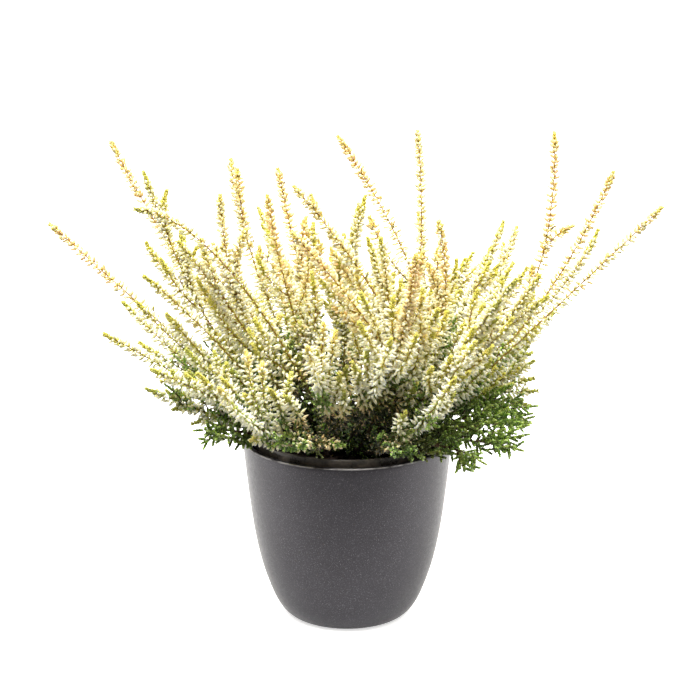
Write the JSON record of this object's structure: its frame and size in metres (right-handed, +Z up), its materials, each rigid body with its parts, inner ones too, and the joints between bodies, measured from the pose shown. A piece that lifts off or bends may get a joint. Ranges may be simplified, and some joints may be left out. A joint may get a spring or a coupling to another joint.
{
  "type": "potted heather",
  "caption": "Bushy bud-blooming heather with long upright spikes of cream buds, in a grower's pot inside a flared satin dark grey cover pot.",
  "frame": {"origin": "centre of the cover pot's flat underside, on the surface it stands on", "axes": "+Z up along the pot's axis; -Y towards the front, the side the plant is seen from; +X to the right"},
  "size_m": [0.3676, 0.2965, 0.303],
  "materials": {
    "glaze": "satin",
    "pot_plastic": "satin",
    "compost": "matte",
    "bark": "matte",
    "blossom": "matte",
    "foliage": "satin"
  },
  "bodies": {
    "root": {"cover_pot": "glaze", "flowering_shoot_01": "blossom", "flowering_shoot_02": "blossom", "flowering_shoot_03": "blossom", "flowering_shoot_04": "blossom", "flowering_shoot_05": "blossom", "flowering_shoot_06": "blossom", "flowering_shoot_07": "blossom", "flowering_shoot_08": "blossom", "flowering_shoot_09": "blossom", "flowering_shoot_10": "blossom", "flowering_shoot_11": "blossom", "flowering_shoot_12": "blossom", "flowering_shoot_13": "blossom", "flowering_shoot_14": "blossom", "flowering_shoot_15": "blossom", "flowering_shoot_16": "blossom", "flowering_shoot_17": "blossom", "flowering_shoot_18": "blossom", "flowering_shoot_19": "blossom", "flowering_shoot_20": "blossom", "flowering_shoot_21": "blossom", "flowering_shoot_22": "blossom", "flowering_shoot_23": "blossom", "flowering_shoot_24": "blossom", "flowering_shoot_25": "blossom", "flowering_shoot_26": "blossom", "flowering_shoot_27": "blossom", "flowering_shoot_28": "blossom", "flowering_shoot_29": "blossom", "flowering_shoot_30": "blossom", "flowering_shoot_31": "blossom", "flowering_shoot_32": "blossom", "flowering_shoot_33": "blossom", "flowering_shoot_34": "blossom", "flowering_shoot_35": "blossom", "flowering_shoot_36": "blossom", "flowering_shoot_37": "blossom", "flowering_shoot_38": "blossom", "flowering_shoot_39": "blossom", "flowering_shoot_40": "blossom", "flowering_shoot_41": "blossom", "flowering_shoot_42": "blossom", "flowering_shoot_43": "blossom", "flowering_shoot_44": "blossom", "flowering_shoot_45": "blossom", "flowering_shoot_46": "blossom", "flowering_shoot_47": "blossom", "flowering_shoot_48": "blossom", "flowering_shoot_49": "blossom", "grower_pot": "pot_plastic", "leafy_shoot_01": "foliage", "leafy_shoot_02": "foliage", "leafy_shoot_03": "foliage", "leafy_shoot_04": "foliage", "leafy_shoot_05": "foliage", "potting_compost": "compost", "root_crown": "bark"}
  },
  "joints": []
}
